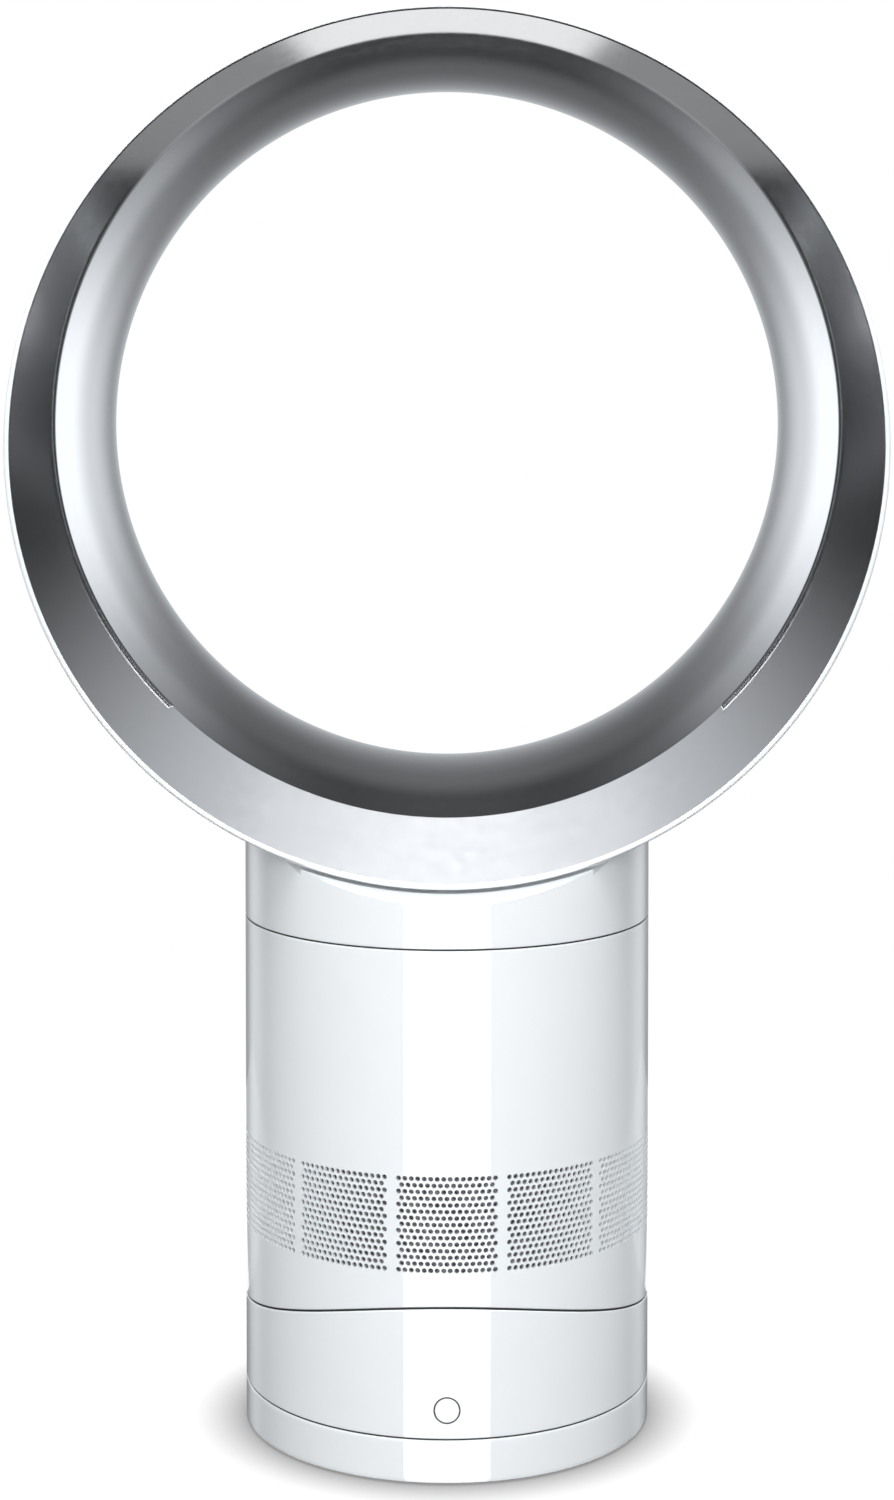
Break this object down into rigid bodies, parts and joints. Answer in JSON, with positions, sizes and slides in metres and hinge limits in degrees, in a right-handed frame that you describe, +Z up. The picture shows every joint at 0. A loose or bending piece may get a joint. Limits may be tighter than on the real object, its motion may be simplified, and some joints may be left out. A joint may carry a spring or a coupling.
{
  "type": "bladeless desk fan",
  "caption": "White bladeless desk fan: a hollow loop with a satin metallic duct on a cylindrical motor body that tilts on an oscillating base.",
  "frame": {"origin": "on the floor, at the centre of the round foot, on the vertical axis the fan oscillates about", "axes": "+Z up; -Y is the front, where the air leaves; +X to the right seen from the front"},
  "size_m": [0.302, 0.145, 0.5],
  "materials": {
    "white_gloss_plastic": "high gloss, moulded",
    "satin_nickel": "satin nickel coloured metallic coating on plastic",
    "grey_plastic": "moulded, fine texture",
    "black_plastic": "moulded",
    "acetal": "smooth, low friction",
    "rubber": "soft, matt",
    "acoustic_foam": "open-cell foam",
    "circuit_board": "solder mask",
    "copper_wire": "enamelled copper winding",
    "magnet": "sintered, dark",
    "steel": "zinc plated"
  },
  "bodies": {
    "foot": {"foot_pad": "rubber", "foot_shell": "white_gloss_plastic", "fixed_gear": "acetal", "bearing_ring": "acetal", "dc_inlet": "black_plastic", "pivot_retainer": "steel", "gear_screw_1": "steel", "gear_screw_2": "steel", "gear_screw_3": "steel"},
    "control_base": {"base_floor": "grey_plastic", "base_shell": "white_gloss_plastic", "cradle_plate": "grey_plastic", "oscillation_motor": "steel", "control_pcb": "circuit_board", "tact_switch": "black_plastic", "speed_display": "black_plastic", "ir_receiver": "black_plastic", "button_spring": "steel", "base_screw_1": "steel", "base_screw_2": "steel", "base_screw_3": "steel", "base_screw_4": "steel", "cradle_screw_1": "steel", "cradle_screw_2": "steel", "motor_screw_1": "steel", "motor_screw_2": "steel"},
    "power_button_body": {"power_button": "white_gloss_plastic"},
    "pinion": {"oscillation_pinion": "acetal"},
    "tilting_head": {"motor_body_shell": "white_gloss_plastic", "head_bottom_plate": "grey_plastic", "bottom_plate_screw_1": "steel", "bottom_plate_screw_2": "steel", "tilt_runner_left": "acetal", "tilt_runner_right": "acetal", "lower_foam": "acoustic_foam", "annular_platform": "grey_plastic", "housing_seal": "rubber", "impeller_housing": "grey_plastic", "motor_bucket_lower": "grey_plastic", "diffuser_bucket_upper": "grey_plastic", "lower_bearing": "steel", "upper_bearing": "steel", "motor_stator": "steel", "stator_coil_1": "copper_wire", "stator_coil_2": "copper_wire", "stator_coil_3": "copper_wire", "stator_coil_4": "copper_wire", "motor_driver_pcb": "circuit_board", "nose_foam": "acoustic_foam", "neck_seal": "rubber", "nozzle_outer_casing": "white_gloss_plastic", "nozzle_inner_casing": "satin_nickel"},
    "rotor": {"impeller": "grey_plastic", "rotor_shaft": "steel", "rotor_magnet": "magnet"}
  },
  "joints": [
    {"name": "oscillation", "type": "hinge", "parent": "foot", "child": "control_base", "pos_m": [0, 0, 0.015], "axis": [0, 0, 1], "range_deg": [-45, 45]},
    {"name": "pinion_spin", "type": "hinge", "parent": "control_base", "child": "pinion", "pos_m": [0, 0.0375, 0.006], "axis": [0, 0, 1], "range_deg": [-181, 181]},
    {"name": "tilt", "type": "hinge", "parent": "control_base", "child": "tilting_head", "pos_m": [0, 0, 0.2252], "axis": [1, 0, 0], "range_deg": [-10, 10]},
    {"name": "power_button_press", "type": "slide", "parent": "control_base", "child": "power_button_body", "axis": [0, 1, 0], "range_m": [0, 0.001], "stiffness_N_per_m": 300, "deforming": ["button_spring"]},
    {"name": "impeller_spin", "type": "hinge", "parent": "tilting_head", "child": "rotor", "pos_m": [0, 0, 0.145], "axis": [0, 0, 1], "continuous": true}
  ],
  "couplings": [
    {"joint": "pinion_spin", "follows": "oscillation", "ratio": 4}
  ]
}
